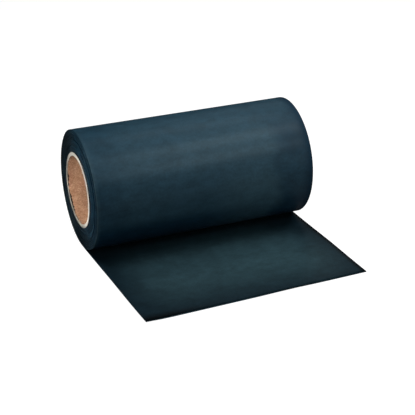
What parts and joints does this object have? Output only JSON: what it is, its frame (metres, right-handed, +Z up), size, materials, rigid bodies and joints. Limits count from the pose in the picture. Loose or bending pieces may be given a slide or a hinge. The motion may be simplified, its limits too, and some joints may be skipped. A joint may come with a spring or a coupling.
{
  "type": "roll of rubber flashing",
  "caption": "Roll of thin black rubber flashing strip on a cardboard tube, lying on its side with the free end led out flat in front.",
  "frame": {"origin": "on the ground, at the middle of the footprint of the roll and its free end", "axes": "+X along the roll's axis, +Z up, and -Y towards the cut edge of the free end"},
  "size_m": [0.262, 0.26, 0.1355],
  "materials": {
    "rubber": "matte",
    "tube_board": "matte"
  },
  "bodies": {
    "root": {"rubber_strip": "rubber", "cardboard_tube": "tube_board"}
  },
  "joints": []
}
